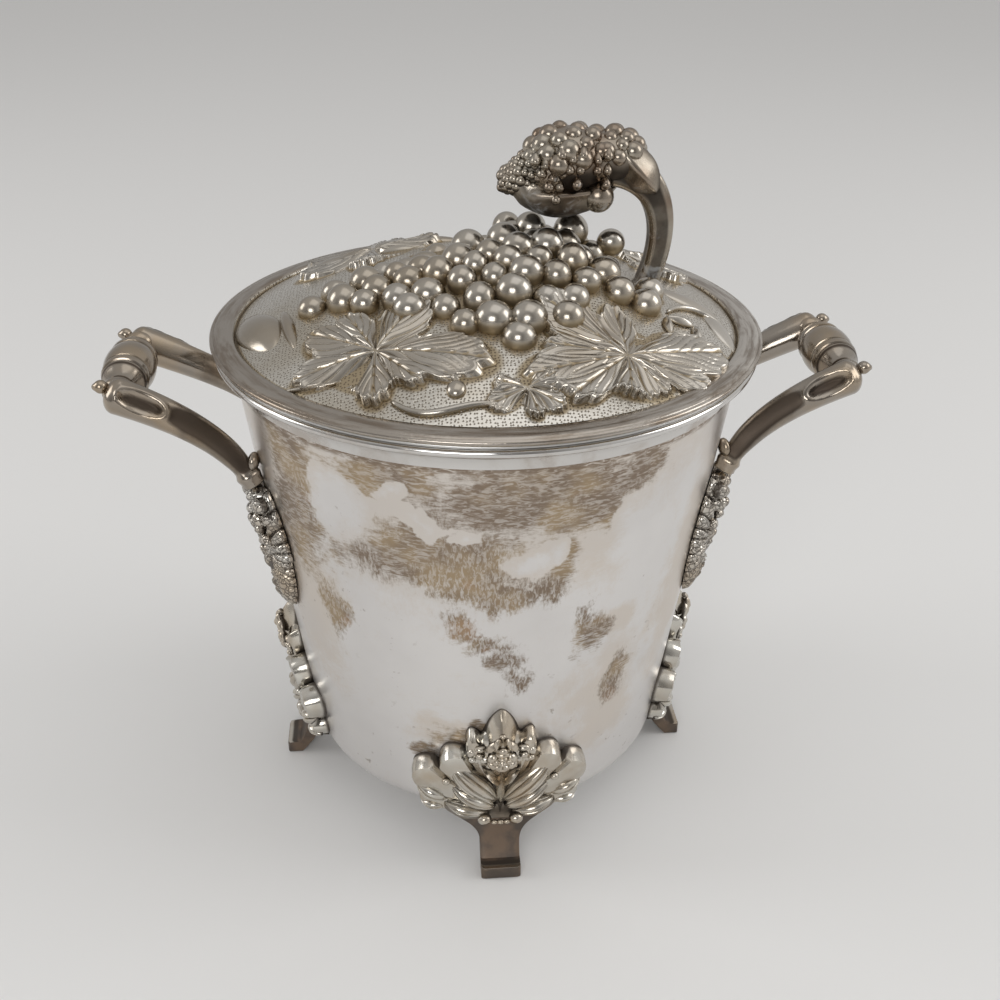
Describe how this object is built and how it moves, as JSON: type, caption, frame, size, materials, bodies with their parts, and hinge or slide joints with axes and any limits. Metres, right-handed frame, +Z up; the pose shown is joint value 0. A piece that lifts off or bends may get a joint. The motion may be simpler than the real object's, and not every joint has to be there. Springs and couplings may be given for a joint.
{
  "type": "lidded ice bucket",
  "caption": "Footed tapered ice bucket in tarnished silver plate, with a lift-off chased vine lid, bunch-of-grapes finial, side handles and shell feet.",
  "frame": {"origin": "on the table under the bucket's axis, at the middle of the box's underside", "axes": "+Z up, +X through the right handle, -Y towards the foot that faces the viewer in the picture"},
  "size_m": [0.2662, 0.19, 0.2529],
  "materials": {
    "silver_plate": "polished",
    "chased_silver": "satin",
    "cast_silver": "satin",
    "liner_steel": "satin",
    "packing_felt": "matte",
    "cork": "matte"
  },
  "bodies": {
    "bucket": {"bucket_shell": "silver_plate", "rim_moulding": "silver_plate", "liner": "liner_steel", "insulation_jacket": "packing_felt", "base_cushion": "cork", "left_grip": "cast_silver", "left_front_arm": "cast_silver", "left_rear_arm": "cast_silver", "right_grip": "cast_silver", "right_front_arm": "cast_silver", "right_rear_arm": "cast_silver", "left_front_mount": "cast_silver", "left_rear_mount": "cast_silver", "right_front_mount": "cast_silver", "right_rear_mount": "cast_silver", "front_foot": "cast_silver", "right_foot": "cast_silver", "rear_foot": "cast_silver", "left_foot": "cast_silver"},
    "lid": {"lid_shell": "chased_silver", "lid_edge": "silver_plate", "lid_pan": "silver_plate", "finial_branch": "cast_silver", "finial_bunch": "cast_silver"}
  },
  "joints": [
    {"name": "lid_lift", "type": "slide", "parent": "bucket", "child": "lid", "axis": [0, 0, 1], "range_m": [0, 0.12]}
  ]
}
